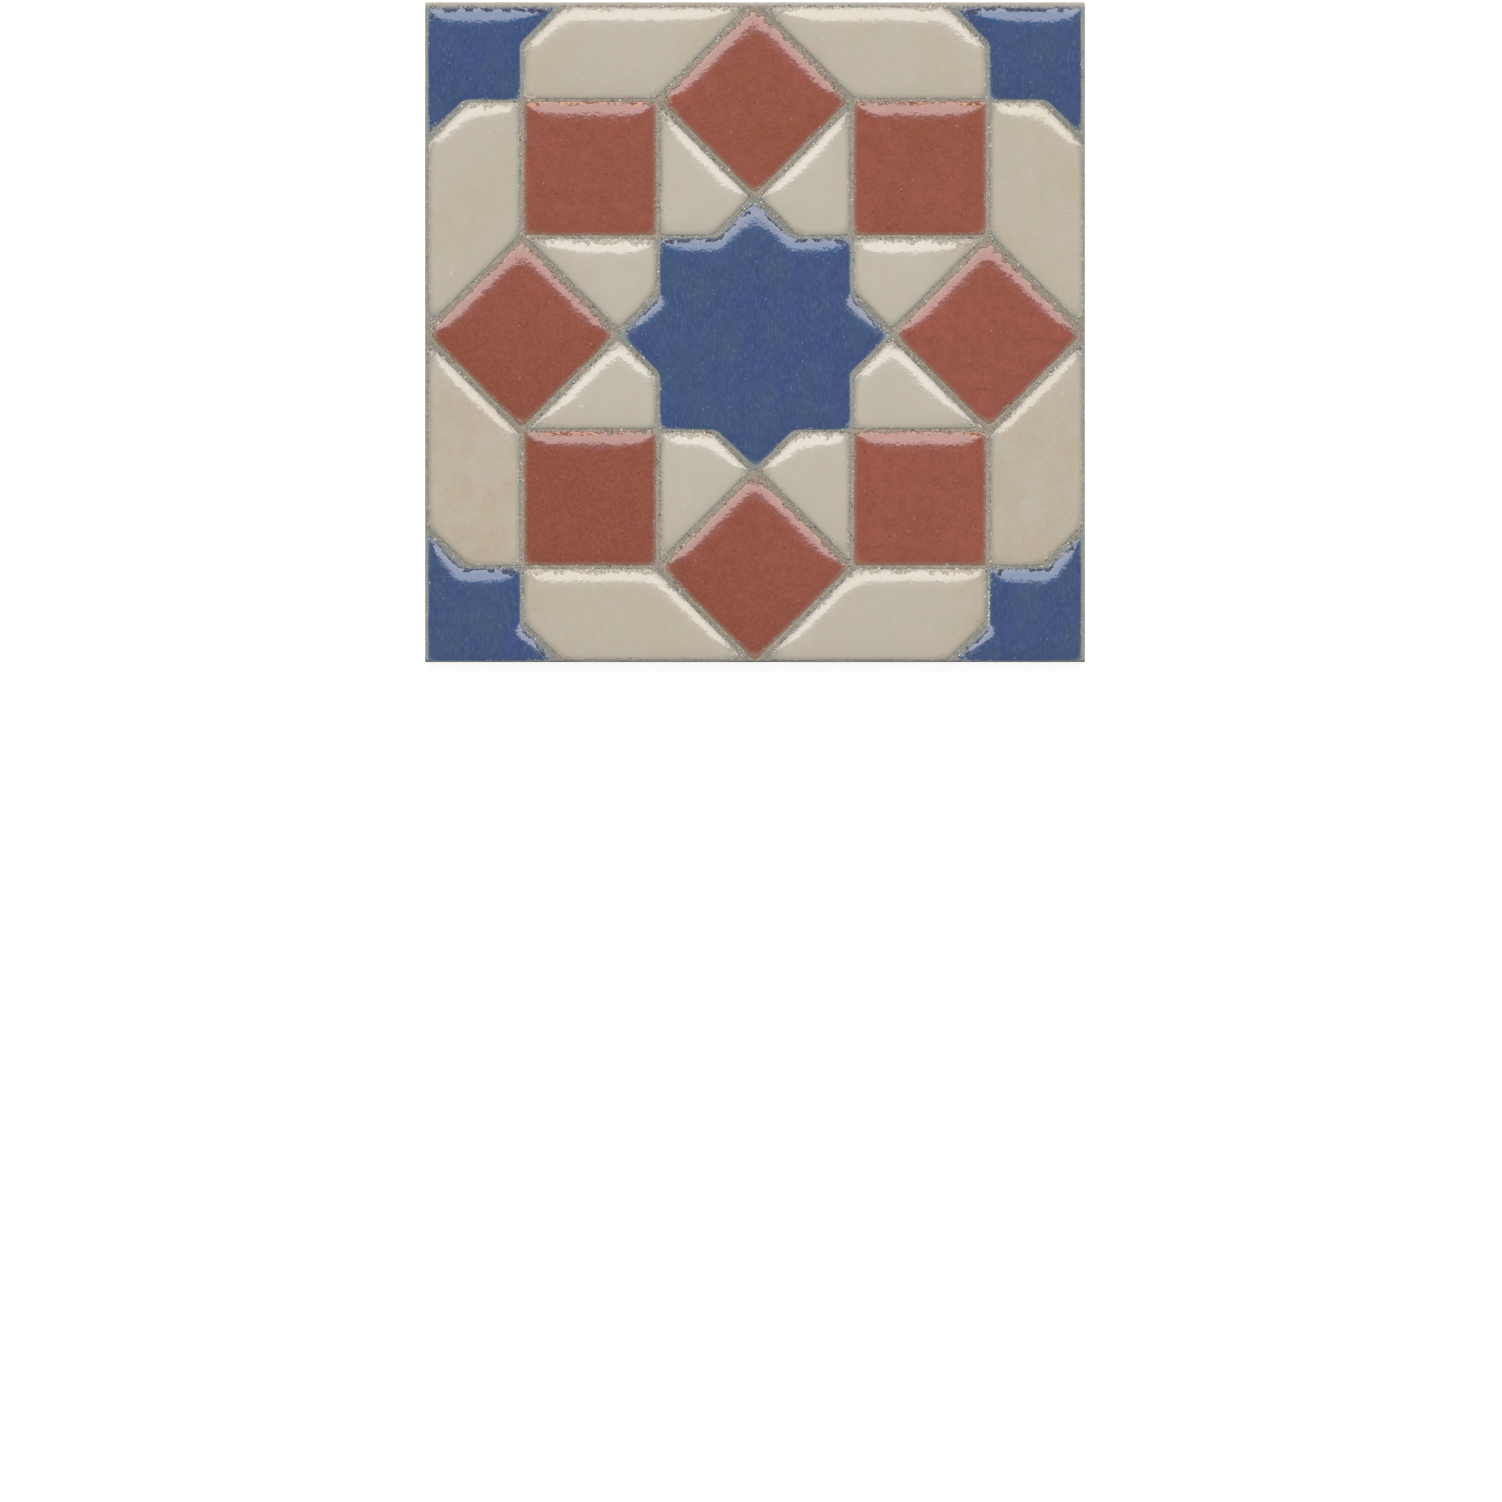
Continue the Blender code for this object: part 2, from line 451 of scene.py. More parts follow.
def pool_mesh(pool):
    """Points and faces of one closed pool, with how far in each point lies and which way its edge faces."""
    glaze = pool.glaze
    ring = pool_edge(pool)
    headward = facing_head(ring, pool)
    crust = crust_width(ring, glaze, headward)
    table = flow_table(ring, pool, SHOULDER_DEPTHS[-1] + 0.5)
    points, heights, depths, past_crust = [], [], [], []
    for depth_in in SHOULDER_DEPTHS:
        still = along_flow(table, np.full(len(ring), EDGE_DEPTH + depth_in))
        level = along_flow(table, EDGE_DEPTH + depth_in + outline_shift(still, depth_in, headward))
        points.append(level)
        depths.append(np.full(len(ring), depth_in))
        past_crust.append(depth_in - crust)
        swell = field_swell(level, glaze) * (1 - math.exp(-depth_in))
        heights.append(glaze_height(pool, depths[-1]) + swell)
    last = points[-1]
    inner = grid_points(last.min(0), last.max(0), FIELD_SPACING)
    inner = inner[pool.depth(inner) > EDGE_DEPTH + SHOULDER_DEPTHS[-1] + FIELD_MARGIN]
    inner_depth = pool.depth(inner) - EDGE_DEPTH
    count, levels = len(ring), len(SHOULDER_DEPTHS)
    faces = []
    for level in range(levels - 1):
        faces += band(level * count, (level + 1) * count, count)
    offset = (levels - 1) * count
    faces += [tuple(offset + corner for corner in face) for face in fill_inside(last, inner)]
    points.append(inner)
    depths.append(inner_depth)
    past_crust.append(inner_depth)
    heights.append(glaze_height(pool, inner_depth) + field_swell(inner, glaze))
    root = sum(len(level) for level in points)
    points.append(points[0])
    depths.append(np.zeros(count))
    past_crust.append(past_crust[0])
    heights.append(np.full(count, -POOL_ROOT))
    faces += band(root, 0, count)
    faces.append(tuple(root + index for index in reversed(range(count))))
    flat = np.vstack(points) - (0, PATTERN_DROP)
    values = {
        "edge_depth": np.concatenate(depths),
        "past_crust": np.concatenate(past_crust),
        "headward": np.concatenate([np.tile(headward, levels), np.zeros(len(inner)), headward]),
    }
    return np.column_stack([flat, BODY_TOP + np.concatenate(heights)]), faces, values


def weld(mesh):
    """Merges the points that came together in sharp corners."""
    shape = bmesh.new()
    shape.from_mesh(mesh)
    bmesh.ops.remove_doubles(shape, verts=shape.verts, dist=WELD_DISTANCE * MM)
    shape.to_mesh(mesh)
    shape.free()


def new_piece(name, points, faces, values, material):
    mesh = bpy.data.meshes.new(name)
    mesh.from_pydata([tuple(point) for point in points * MM], [], faces)
    for attribute, numbers in values.items():
        mesh.attributes.new(attribute, "FLOAT", "POINT").data.foreach_set("value", numbers.astype(np.float32))
    weld(mesh)
    mesh.shade_smooth()
    mesh.materials.append(material)
    piece = bpy.data.objects.new(name, mesh)
    bpy.context.scene.collection.objects.link(piece)
    return piece


def make_glaze_pools(pools, glaze, material):
    """All the pools of one glaze as one piece."""
    points, faces, values, offset = [], [], [], 0
    for pool in pools:
        if pool.glaze is not glaze:
            continue
        pool_points, pool_faces, pool_values = pool_mesh(pool)
        points.append(pool_points)
        faces += [tuple(offset + corner for corner in face) for face in pool_faces]
        values.append(pool_values)
        offset += len(pool_points)
    joined = {name: np.concatenate([given[name] for given in values]) for name in values[0]}
    return new_piece(glaze.name + "_glaze_pools", np.vstack(points), faces, joined, material)


# Clay body

def rim_ring(inset):
    """The tile's outline moved in by inset, with its four corners rounded."""
    radius = UPRIGHT_CORNER_RADIUS - inset
    along = np.linspace(-1, 1, round(TILE_SIDE / BED_SPACING))
    side = HALF_SIDE - inset
    straight = [(side, y * (side - radius)) for y in along]
    bend = [math.radians(angle) for angle in (22.5, 45, 67.5)]
    corner = [(side - radius + radius * math.cos(a), side - radius + radius * math.sin(a)) for a in bend]
    quarter = straight + corner
    return np.array([point for turn in range(4) for point in turned(quarter, turn)])


def points_near(points, pool, margin):
    """Which points lie in the pool's box, and those points in the pattern's own place."""
    moved = points + (0, PATTERN_DROP)
    low = np.min(pool.outline, axis=0) - margin
    high = np.max(pool.outline, axis=0) + margin
    near = np.all((moved > low) & (moved < high), axis=1)
    return near, moved[near]


def most_near(points, pools, margin, value_beside):
    """The greatest of the values that pools give to the points within a margin of them, or nought."""
    most = np.zeros(len(points))
    for pool in pools:
        near, beside = points_near(points, pool, margin)
        most[near] = np.maximum(most[near], value_beside(pool, beside))
    return most


def deepest(points, pools):
    """How deep each point lies in the pool that covers it, or nought on bare clay."""
    return most_near(points, pools, 0.0, lambda pool, inside: pool.depth(inside))


def crumble(points, pools):
    """How thick the grit lies: most along edges that face the head, some along those that face left."""

    def beside_edge(pool, beside):
        apart = np.maximum(-pool.depth(beside), 0)
        pull = inward_pull(beside, pool)
        east, north = (pull / np.maximum(np.hypot(*pull.T), 1e-6)[:, None]).T
        share = np.maximum(-north, 0) + 0.2 * np.maximum(east, 0)
        if pool.glaze is TERRACOTTA:
            share = 0.6 * share
        return share * np.exp(-(apart / CRUMBLE_REACH) ** 2)

    patches = 0.55 + 1.3 * wander(points, 4.5, 21.0) + 0.5 * wander(points, 1.6, 22.0)
    everywhere = 0.07 + 0.25 * wander(points, 3.0, 23.0)
    return np.clip(most_near(points, pools, 1.0, beside_edge) * patches + everywhere, 0, 1)


def spatter(points, pools):
    """How thick beads of white glaze lie: in stretches of the blue's upright edges, and in two chains; being
    painted near white, they are partly painted glints there.
    """

    def beside_edge(pool, beside):
        apart = np.maximum(EDGE_DEPTH - pool.depth(beside), 0)
        upright = np.abs(inward_pull(beside, pool)[:, 0]) > 0.9
        return upright * np.exp(-((apart - 0.15) / 0.15) ** 2)

    blue_pools = [pool for pool in pools if pool.glaze is COBALT]
    chained = np.zeros(len(points))
    for x, y, reach in GLINT_BEAD_CHAINS:
        chained = np.maximum(chained, 4 * np.exp(-((np.hypot(*(points - (x, y)).T) / reach) ** 4)))
    stretches = np.clip(1.5 * wander(points, 4.0, 31.0) - 0.4, 0, 1)
    return most_near(points, blue_pools, 0.8, beside_edge) * (stretches + chained)


def from_glaze(points, pools):
    """How far bare clay lies from the nearest glaze."""
    apart = np.full(len(points), FAR_FROM_GLAZE)
    for pool in pools:
        near, beside = points_near(points, pool, 1.5)
        apart[near] = np.minimum(apart[near], np.maximum(EDGE_DEPTH - pool.depth(beside), 0))
    return apart


def falling_lines(points, pools):
    """One on the bare lines that fall from left to right, which are coloured a little darker."""

    def beside_edge(pool, beside):
        depths = pool.depth(beside)
        outside = (depths < EDGE_DEPTH) & (depths > -1.2)
        pull = inward_pull(beside, pool)
        slant = np.abs(pull.sum(1)) / np.maximum(np.hypot(*pull.T), 1e-6)
        return outside * np.clip(6 * (slant - 1.2), 0, 1)

    return most_near(points, pools, 1.0, beside_edge)


def fumes(points, pools, glaze):
    """How much the colour of one glaze has drifted onto the clay beside its pools."""

    def beside_edge(pool, beside):
        return np.exp(-(np.maximum(-pool.depth(beside), 0) / FUME_REACH) ** 2)

    return most_near(points, [pool for pool in pools if pool.glaze is glaze], 2.0, beside_edge)


def line_stain_and_rim_shade(points):
    """How far the resist has greyed bare clay, least at the head rim, where the paler clay is partly a
    painted highlight of the lamp-facing edge; past one is a painted shadow along the foot edge.
    """
    grey = np.clip((HALF_SIDE - points[:, 1]) / HEAD_RIM_FADE, 0.05, 1)
    foot_shadow = np.clip((FOOT_SHADOW_WIDTH - HALF_SIDE - points[:, 1]) / 0.15, 0, 1)
    return grey + foot_shadow


def bed_height(points, under):
    """The grainy clay between the pools; it dips away below their edges."""
    grain = 0.03 * wander(points, 0.6, 7.0) + 0.04 * wander(points, 1.6, 8.0)
    return BODY_TOP - BED_DROP + grain - 0.5 * np.maximum(under - EDGE_DEPTH, 0)


def make_clay_body(pools, material):
    rim = rim_ring(ARRIS_RADIUS)
    reach = HALF_SIDE - ARRIS_RADIUS - 0.15
    fine = grid_points((-reach, -reach), (reach, reach), BED_SPACING)
    fine = fine[np.abs(fine).max(1) < reach]
    fine = fine[deepest(fine, pools) < EDGE_DEPTH + BED_UNDER_GLAZE]
    coarse = grid_points((-reach, -reach), (reach, reach), HIDDEN_SPACING)
    coarse = coarse[deepest(coarse, pools) > EDGE_DEPTH + HIDDEN_DEPTH]
    inner = np.vstack([fine, coarse])
    top = np.vstack([rim, inner])
    under = deepest(top, pools)
    bare = np.clip(1 - (under - EDGE_DEPTH) / BARE_FADE, 0, 1)
    from_rim = HALF_SIDE - np.abs(top).max(1)
    grit = crumble(top, pools) * bare * (from_rim > GRIT_MARGIN)
    beads = spatter(top, pools) * bare * (from_rim > BEAD_MARGIN)
    points = [np.column_stack([top, bed_height(top, np.minimum(under, 1.0))])]
    faces = fill_inside(rim, inner)
    grey_and_rim_shade = [bare * line_stain_and_rim_shade(top)]
    count, above, offset = len(rim), 0, len(top)
    # The rings round the top edge carry the resist grey and the painted rim light and shadow too.
    for inset, height, shade in side_levels():
        ring = rim_ring(inset)
        rough = 0.02 * wander(ring + height, 1.1, 9.0) + 0.03 * wander(ring - height, 6.0, 10.0)
        ring = ring * (1 - np.maximum(rough, 0)[:, None] / HALF_SIDE)
        points.append(np.column_stack([ring, np.full(count, height)]))
        grey_and_rim_shade.append(shade * line_stain_and_rim_shade(ring))
        faces += [
            (above + i, offset + i, offset + (i + 1) % count, above + (i + 1) % count) for i in range(count)
        ]
        above, offset = offset, offset + count
    floor_ring = points[-1][:, :2]
    back = grid_points((-reach, -reach), (reach, reach), HIDDEN_SPACING)
    back = back[np.abs(back).max(1) < reach - 1.0]
    points.append(np.column_stack([back, np.zeros(len(back))]))
    grey_and_rim_shade.append(np.zeros(len(back)))
    faces += [tuple(above + corner for corner in reversed(face)) for face in fill_inside(floor_ring, back)]
    grey_and_rim_shade = np.concatenate(grey_and_rim_shade)
    below = np.zeros(len(grey_and_rim_shade) - len(top))
    values = {
        "bare_line_and_rim_shade": grey_and_rim_shade,
        "from_glaze": np.r_[from_glaze(top, pools), below],
        "falling_line": np.r_[falling_lines(top, pools), below],
        "grit_cover": np.r_[grit, below],
        "bead_cover": np.r_[beads, below],
        "cobalt_fume": np.r_[fumes(top, pools, COBALT), below],
        "iron_fume": np.r_[fumes(top, pools, TERRACOTTA), below],
    }
    return new_piece("fired_clay_body", np.vstack(points), faces, values, material)


def side_levels():
    """Inset, height and weight of resist grey and painted rim shade of each ring down the tile's sides."""
    angles = [math.radians(angle) for angle in (30, 60, 90)]
    arc = [(ARRIS_RADIUS * (1 - math.sin(angle)), ARRIS_RADIUS * (1 - math.cos(angle))) for angle in angles]
    head = [(inset, BODY_TOP - BED_DROP - drop, 1.0) for inset, drop in arc]
    sides = [(0.0, height, 0.0) for height in np.linspace(BODY_TOP - UNGLAZED_BELOW_FACE, ARRIS_RADIUS, 6)]
    return head + sides + [(inset, height, 0.0) for height, inset in arc]


# Grit in the bare lines

def scatter_grains(name, body, cover_name, grain_sizes, material):
    """Grains fired onto the bare lines, scattered over the body by Geometry Nodes."""
    per_square_mm, smallest, largest = grain_sizes
    tree = bpy.data.node_groups.new(name, "GeometryNodeTree")
    tree.interface.new_socket("Body", in_out="INPUT", socket_type="NodeSocketGeometry")
    sizes = {
        "Grains per square metre": ("NodeSocketFloat", per_square_mm / MM ** 2),
        "Smallest grain": ("NodeSocketFloat", smallest * MM),
        "Largest grain": ("NodeSocketFloat", largest * MM),
        "Seed": ("NodeSocketInt", 4),
    }
    sockets = {
        size_name: tree.interface.new_socket(size_name, in_out="INPUT", socket_type=kind)
        for size_name, (kind, _) in sizes.items()
    }
    tree.interface.new_socket("Grains", in_out="OUTPUT", socket_type="NodeSocketGeometry")
    given = tree.nodes.new("NodeGroupInput").outputs
    cover = add_node(tree, "GeometryNodeInputNamedAttribute", {"data_type": "FLOAT"}, {"Name": cover_name})
    density = product(tree, cover.outputs["Attribute"], given["Grains per square metre"])
    spots = add_node(
        tree,
        "GeometryNodeDistributePointsOnFaces",
        {"distribute_method": "RANDOM"},
        {"Mesh": given["Body"], "Density": density, "Seed": given["Seed"]},
    )
    grain = add_node(tree, "GeometryNodeMeshIcoSphere", {}, {"Radius": 1.0, "Subdivisions": 1})
    size = add_node(
        tree,
        "FunctionNodeRandomValue",
        {"data_type": "FLOAT"},
        {"Min": given["Smallest grain"], "Max": given["Largest grain"], "Seed": given["Seed"]},
    )
    any_turn = {"Min": (0, 0, 0), "Max": (FULL_TURN, FULL_TURN, FULL_TURN)}
    turn = add_node(tree, "FunctionNodeRandomValue", {"data_type": "FLOAT_VECTOR"}, any_turn)
    tone = add_node(tree, "FunctionNodeRandomValue", {"data_type": "FLOAT"}, {"Min": 0.0, "Max": 1.0})
    toned = add_node(
        tree,
        "GeometryNodeStoreNamedAttribute",
        {"data_type": "FLOAT", "domain": "POINT"},
        {"Geometry": spots.outputs["Points"], "Name": "grain_tone", "Value": tone.outputs["Value"]},
    )
    links = {
        "Points": toned.outputs["Geometry"],
        "Instance": grain.outputs["Mesh"],
        "Rotation": turn.outputs["Value"],
        "Scale": size.outputs["Value"],
    }
    placed = add_node(tree, "GeometryNodeInstanceOnPoints", {}, links)
    real = add_node(tree, "GeometryNodeRealizeInstances", {}, {"Geometry": placed.outputs["Instances"]})
    surfaced = {"Geometry": real.outputs["Geometry"], "Material": material}
    finished = add_node(tree, "GeometryNodeSetMaterial", {}, surfaced)
    add_node(tree, "NodeGroupOutput", {}, {"Grains": finished.outputs["Geometry"]})

    carrier = bpy.data.objects.new(name, body.data.copy())
    bpy.context.scene.collection.objects.link(carrier)
    scatter = carrier.modifiers.new(name, "NODES")
    scatter.node_group = tree
    for size_name, (_, value) in sizes.items():
        scatter[sockets[size_name].identifier] = value
    graph = bpy.context.evaluated_depsgraph_get()
    grains = bpy.data.meshes.new_from_object(carrier.evaluated_get(graph), depsgraph=graph)
    carrier.modifiers.remove(scatter)
    carrier.data = grains
    return carrier


# Materials

def colour(hex_code):
    """The linear colour, with full alpha, of an sRGB hex code."""
    channels = [int(hex_code[index:index + 2], 16) / 255 for index in (1, 3, 5)]
    return (*[c / 12.92 if c <= 0.04045 else ((c + 0.055) / 1.055) ** 2.4 for c in channels], 1.0)


def add_node(tree, kind, settings=None, links=None):
    """A new node with its settings, and each input either linked to an output or set to a value."""
    node = tree.nodes.new(kind)
    for name, value in (settings or {}).items():
        setattr(node, name, value)
    for name, value in (links or {}).items():
        if isinstance(name, int):
            socket = node.inputs[name]
        else:
            socket = next(s for s in node.inputs if s.name == name and s.enabled)
        if isinstance(value, bpy.types.NodeSocket):
            tree.links.new(value, socket)
        else:
            socket.default_value = value
    return node


def new_material(name):
    """An empty material with its shader and a pattern space in millimetres."""
    material = bpy.data.materials.new(name)
    material.use_nodes = True
    tree = material.node_tree
    shader = tree.nodes["Principled BSDF"]
    place = add_node(tree, "ShaderNodeTexCoord")
    links = {"Vector": place.outputs["Object"], "Scale": (1 / MM, 1 / MM, 1 / MM)}
    return material, tree, shader, add_node(tree, "ShaderNodeMapping", {}, links).outputs["Vector"]


def mottle(tree, space, size, detail=3.0, roughness=0.55):
    """Cloudy values from nought to one that change over the given size in millimetres."""
    links = {"Vector": space, "Scale": 1 / size, "Detail": detail, "Roughness": roughness}
    return add_node(tree, "ShaderNodeTexNoise", {}, links).outputs["Fac"]


def stretch(tree, value, low, high, to_low=0.0, to_high=1.0):
    """The value with low to high stretched over to_low to to_high, and no further."""
    links = {"Value": value, "From Min": low, "From Max": high, "To Min": to_low, "To Max": to_high}
    return add_node(tree, "ShaderNodeMapRange", {"clamp": True}, links).outputs["Result"]


def clouded(tree, space, size, detail, low, high, least=0.0, most=1.0):
    """Cloudy patches of the given size, from least to most, where the mottling goes from low to high."""
    return stretch(tree, mottle(tree, space, size, detail), low, high, least, most)


def blend_colour(tree, share, first, second):
    """A share of the second colour over the first; each is an output or an sRGB hex code."""
    first, second = (colour(given) if isinstance(given, str) else given for given in (first, second))
    links = {"Factor": share, "A": first, "B": second}
    return add_node(tree, "ShaderNodeMix", {"data_type": "RGBA"}, links).outputs[2]


def layered(tree, base, *layers):
    """The base colour with each layer, a share and a colour, laid over it in turn."""
    for share, laid in layers:
        base = blend_colour(tree, share, base, laid)
    return base


def combined(tree, operation, *values):
    """The values put together in turn by one operation."""
    result = values[0]
    for value in values[1:]:
        result = add_node(tree, "ShaderNodeMath", {"operation": operation}, {0: result, 1: value}).outputs[0]
    return result


def product(tree, *values):
    return combined(tree, "MULTIPLY", *values)


def total(tree, *values):
    return combined(tree, "ADD", *values)


def moved(tree, space, x, y, stretch_x=1.0, stretch_y=1.0):
    """The pattern space moved aside, and drawn out along x or y."""
    links = {"Vector": space, "Location": (x, y, 0.0), "Scale": (1 / stretch_x, 1 / stretch_y, 1.0)}
    return add_node(tree, "ShaderNodeMapping", {}, links).outputs["Vector"]


def specks(tree, space, spacing, radius, share_shown):
    """One where a small round speck is, one speck in a share of the cells that are spacing apart."""
    cells = add_node(tree, "ShaderNodeTexVoronoi", {"feature": "F1"}, {"Vector": space, "Scale": 1 / spacing})
    inside = stretch(tree, cells.outputs["Distance"], radius / spacing, 0.6 * radius / spacing)
    chosen = add_node(tree, "ShaderNodeSeparateColor", {}, {"Color": cells.outputs["Color"]}).outputs["Red"]
    return product(tree, inside, combined(tree, "LESS_THAN", chosen, share_shown))


def across(tree, space, east, north, low, high):
    """Nought to one across the tile, from low to high in millimetres, along the way of east and north."""
    way = {0: space, 1: (east, north, 0.0)}
    along = add_node(tree, "ShaderNodeVectorMath", {"operation": "DOT_PRODUCT"}, way)
    return stretch(tree, along.outputs["Value"], low, high)


def surface_value(tree, name):
    return add_node(tree, "ShaderNodeAttribute", {"attribute_name": name}).outputs["Fac"]


def ripple(tree, shader, space, coarse_size, coarse, fine_size, fine):
    """The slight unevenness of a fired glaze, sizes and depths in millimetres; it frays the glints' edges."""
    swell_height, skin_height = mottle(tree, space, coarse_size, 1.0), mottle(tree, space, fine_size, 2.0)
    swell = add_node(tree, "ShaderNodeBump", {}, {"Height": swell_height, "Distance": coarse * MM})
    links = {"Height": skin_height, "Distance": fine * MM, "Normal": swell.outputs["Normal"]}
    skin = add_node(tree, "ShaderNodeBump", {}, links)
    tree.links.new(skin.outputs["Normal"], shader.inputs["Normal"])


def crust_cover(tree, space, patch_size):
    """One on the dull flaking crust along a pool's edges, nought on clear glaze."""
    runs = clouded(tree, space, 8.0, 1.0, 0.35, 0.65, -0.25, 0.25)
    patches = clouded(tree, space, patch_size, 2.0, 0.3, 0.7, -0.45, 0.45)
    jags = clouded(tree, space, 0.45, 2.0, 0.3, 0.7, -0.3, 0.3)
    return stretch(tree, total(tree, surface_value(tree, "past_crust"), runs, patches, jags), 0.04, -0.04)


def pulled_patches(tree, space, length, start, width, scarcity, headward):
    """One on lens-shaped patches of dull glaze that lie in from a pool's edge where it faces the head."""
    jags = clouded(tree, space, 0.5, 2.0, 0.3, 0.7, -0.14, 0.14)
    inwards = total(tree, surface_value(tree, "edge_depth"), jags, -start)
    facing_share = stretch(tree, surface_value(tree, "headward"), 0.72, 0.95, 0.4, 1.0)
    lens = clouded(tree, space, length, 1.0, scarcity, scarcity + 0.1, 0.0, width)
    beyond = combined(tree, "SUBTRACT", product(tree, lens, facing_share), inwards)
    facing = stretch(tree, surface_value(tree, "headward"), headward - 0.05, headward + 0.05)
    return product(tree, stretch(tree, inwards, -0.04, 0.04), stretch(tree, beyond, 0.0, 0.08), facing)


def thinning(tree, width):
    """One at a pool's very edge, fading fast to nought at the width."""
    return combined(tree, "POWER", stretch(tree, surface_value(tree, "edge_depth"), width, 0.0), 1.8)


def glaze_surface(tree, shader, base, dull, glaze_roughness, crust_roughness):
    """A fired glaze: a smooth glass over its colour, with crisp reflections where no crust dulls it."""
    tree.links.new(base, shader.inputs["Base Color"])
    roughness = stretch(tree, dull, 0.0, 1.0, glaze_roughness, crust_roughness)
    tree.links.new(roughness, shader.inputs["Roughness"])
    shader.inputs["IOR"].default_value = 1.5
    shader.inputs["Metallic"].default_value = 0.0


def make_ivory_glaze():
    """Opaque tin-white glaze, brushed and fired glossy: warm ivory, faintly clouded, with a few pinholes."""
    material, tree, shader, space = new_material("ivory_tin_glaze")
    base = blend_colour(tree, clouded(tree, space, 26.0, 3.0, 0.38, 0.62), "#A89D89", "#A9A193")
    from_centre = add_node(tree, "ShaderNodeVectorMath", {"operation": "LENGTH"}, {0: space}).outputs["Value"]
    middle = stretch(tree, from_centre, 54.0, 44.0)
    sides = total(tree, across(tree, space, 1, 0, 44.0, 52.0), across(tree, space, -1, 0, 44.0, 52.0))
    lower_half = across(tree, space, 0, -1, 5.0, 20.0)
    rosy = clouded(tree, moved(tree, space, 40, 9), 7.0, 2.0, 0.45, 0.65, 0.0, 0.6)
    green = clouded(tree, moved(tree, space, 9, 60), 5.0, 2.0, 0.5, 0.7, 0.0, 0.6)
    fine = clouded(tree, space, 1.1, 3.0, 0.3, 0.7, 0.0, 0.35)
    pinholes = specks(tree, space, 3.4, 0.2, 0.4)
    crust = crust_cover(tree, space, 1.1)
    flakes = blend_colour(tree, clouded(tree, space, 0.5, 3.0, 0.38, 0.62), "#7F766A", "#AFA597")
    base = layered(
        tree, base,
        (middle, "#ACA597"), (product(tree, sides, lower_half, 0.6), "#A69680"), (rosy, "#ADA196"),
        (green, "#A5A391"), (fine, "#B3AB9D"), (pinholes, "#8E836E"), (thinning(tree, 1.3), "#86857A"),
        (crust, flakes),
    )
    ripple(tree, shader, space, 2.2, 0.028, 0.7, 0.014)
    glaze_surface(tree, shader, base, crust, 0.06, 0.6)
    return material


def make_terracotta_glaze():
    """Iron-red glaze, opaque and glossy: brick red, lightly specked, thinner and more orange at its edges."""
    material, tree, shader, space = new_material("terracotta_iron_glaze")
    base = blend_colour(tree, clouded(tree, space, 22.0, 3.0, 0.36, 0.64), "#824731", "#8A4B3D")
    foot_left = across(tree, space, -1, -1, 20.0, 76.0)
    blots = clouded(tree, space, 3.0, 4.0, 0.32, 0.68, 0.0, 0.7)
    fine = clouded(tree, moved(tree, space, 5, 5), 0.6, 3.0, 0.42, 0.7, 0.0, 0.55)
    pale = specks(tree, moved(tree, space, 0, 0, 1.0, 2.2), 1.4, 0.15, 0.3)
    dark = specks(tree, moved(tree, space, 7, 3), 1.7, 0.2, 0.4)
    crust = crust_cover(tree, space, 1.2)
    flakes = blend_colour(tree, clouded(tree, space, 0.4, 3.0, 0.4, 0.6), "#604639", "#978278")
    pulled = pulled_patches(tree, space, 3.4, 0.25, 0.85, 0.47, 0.9)
    singed = clouded(tree, moved(tree, space, 2, 2, 2.5, 1.0), 0.45, 2.0, 0.46, 0.53)
    seared = blend_colour(tree, singed, "#7A4630", "#B98C74")
    base = layered(
        tree, base,
        (foot_left, "#7C4230"), (blots, "#783C2E"), (fine, "#925644"), (pale, "#A66E5D"), (dark, "#4E1E17"),
        (thinning(tree, 1.1), "#8A6D5A"), (crust, flakes), (pulled, seared),
    )
    ripple(tree, shader, space, 1.7, 0.026, 0.65, 0.014)
    glaze_surface(tree, shader, base, total(tree, crust, pulled), 0.06, 0.8)
    return material


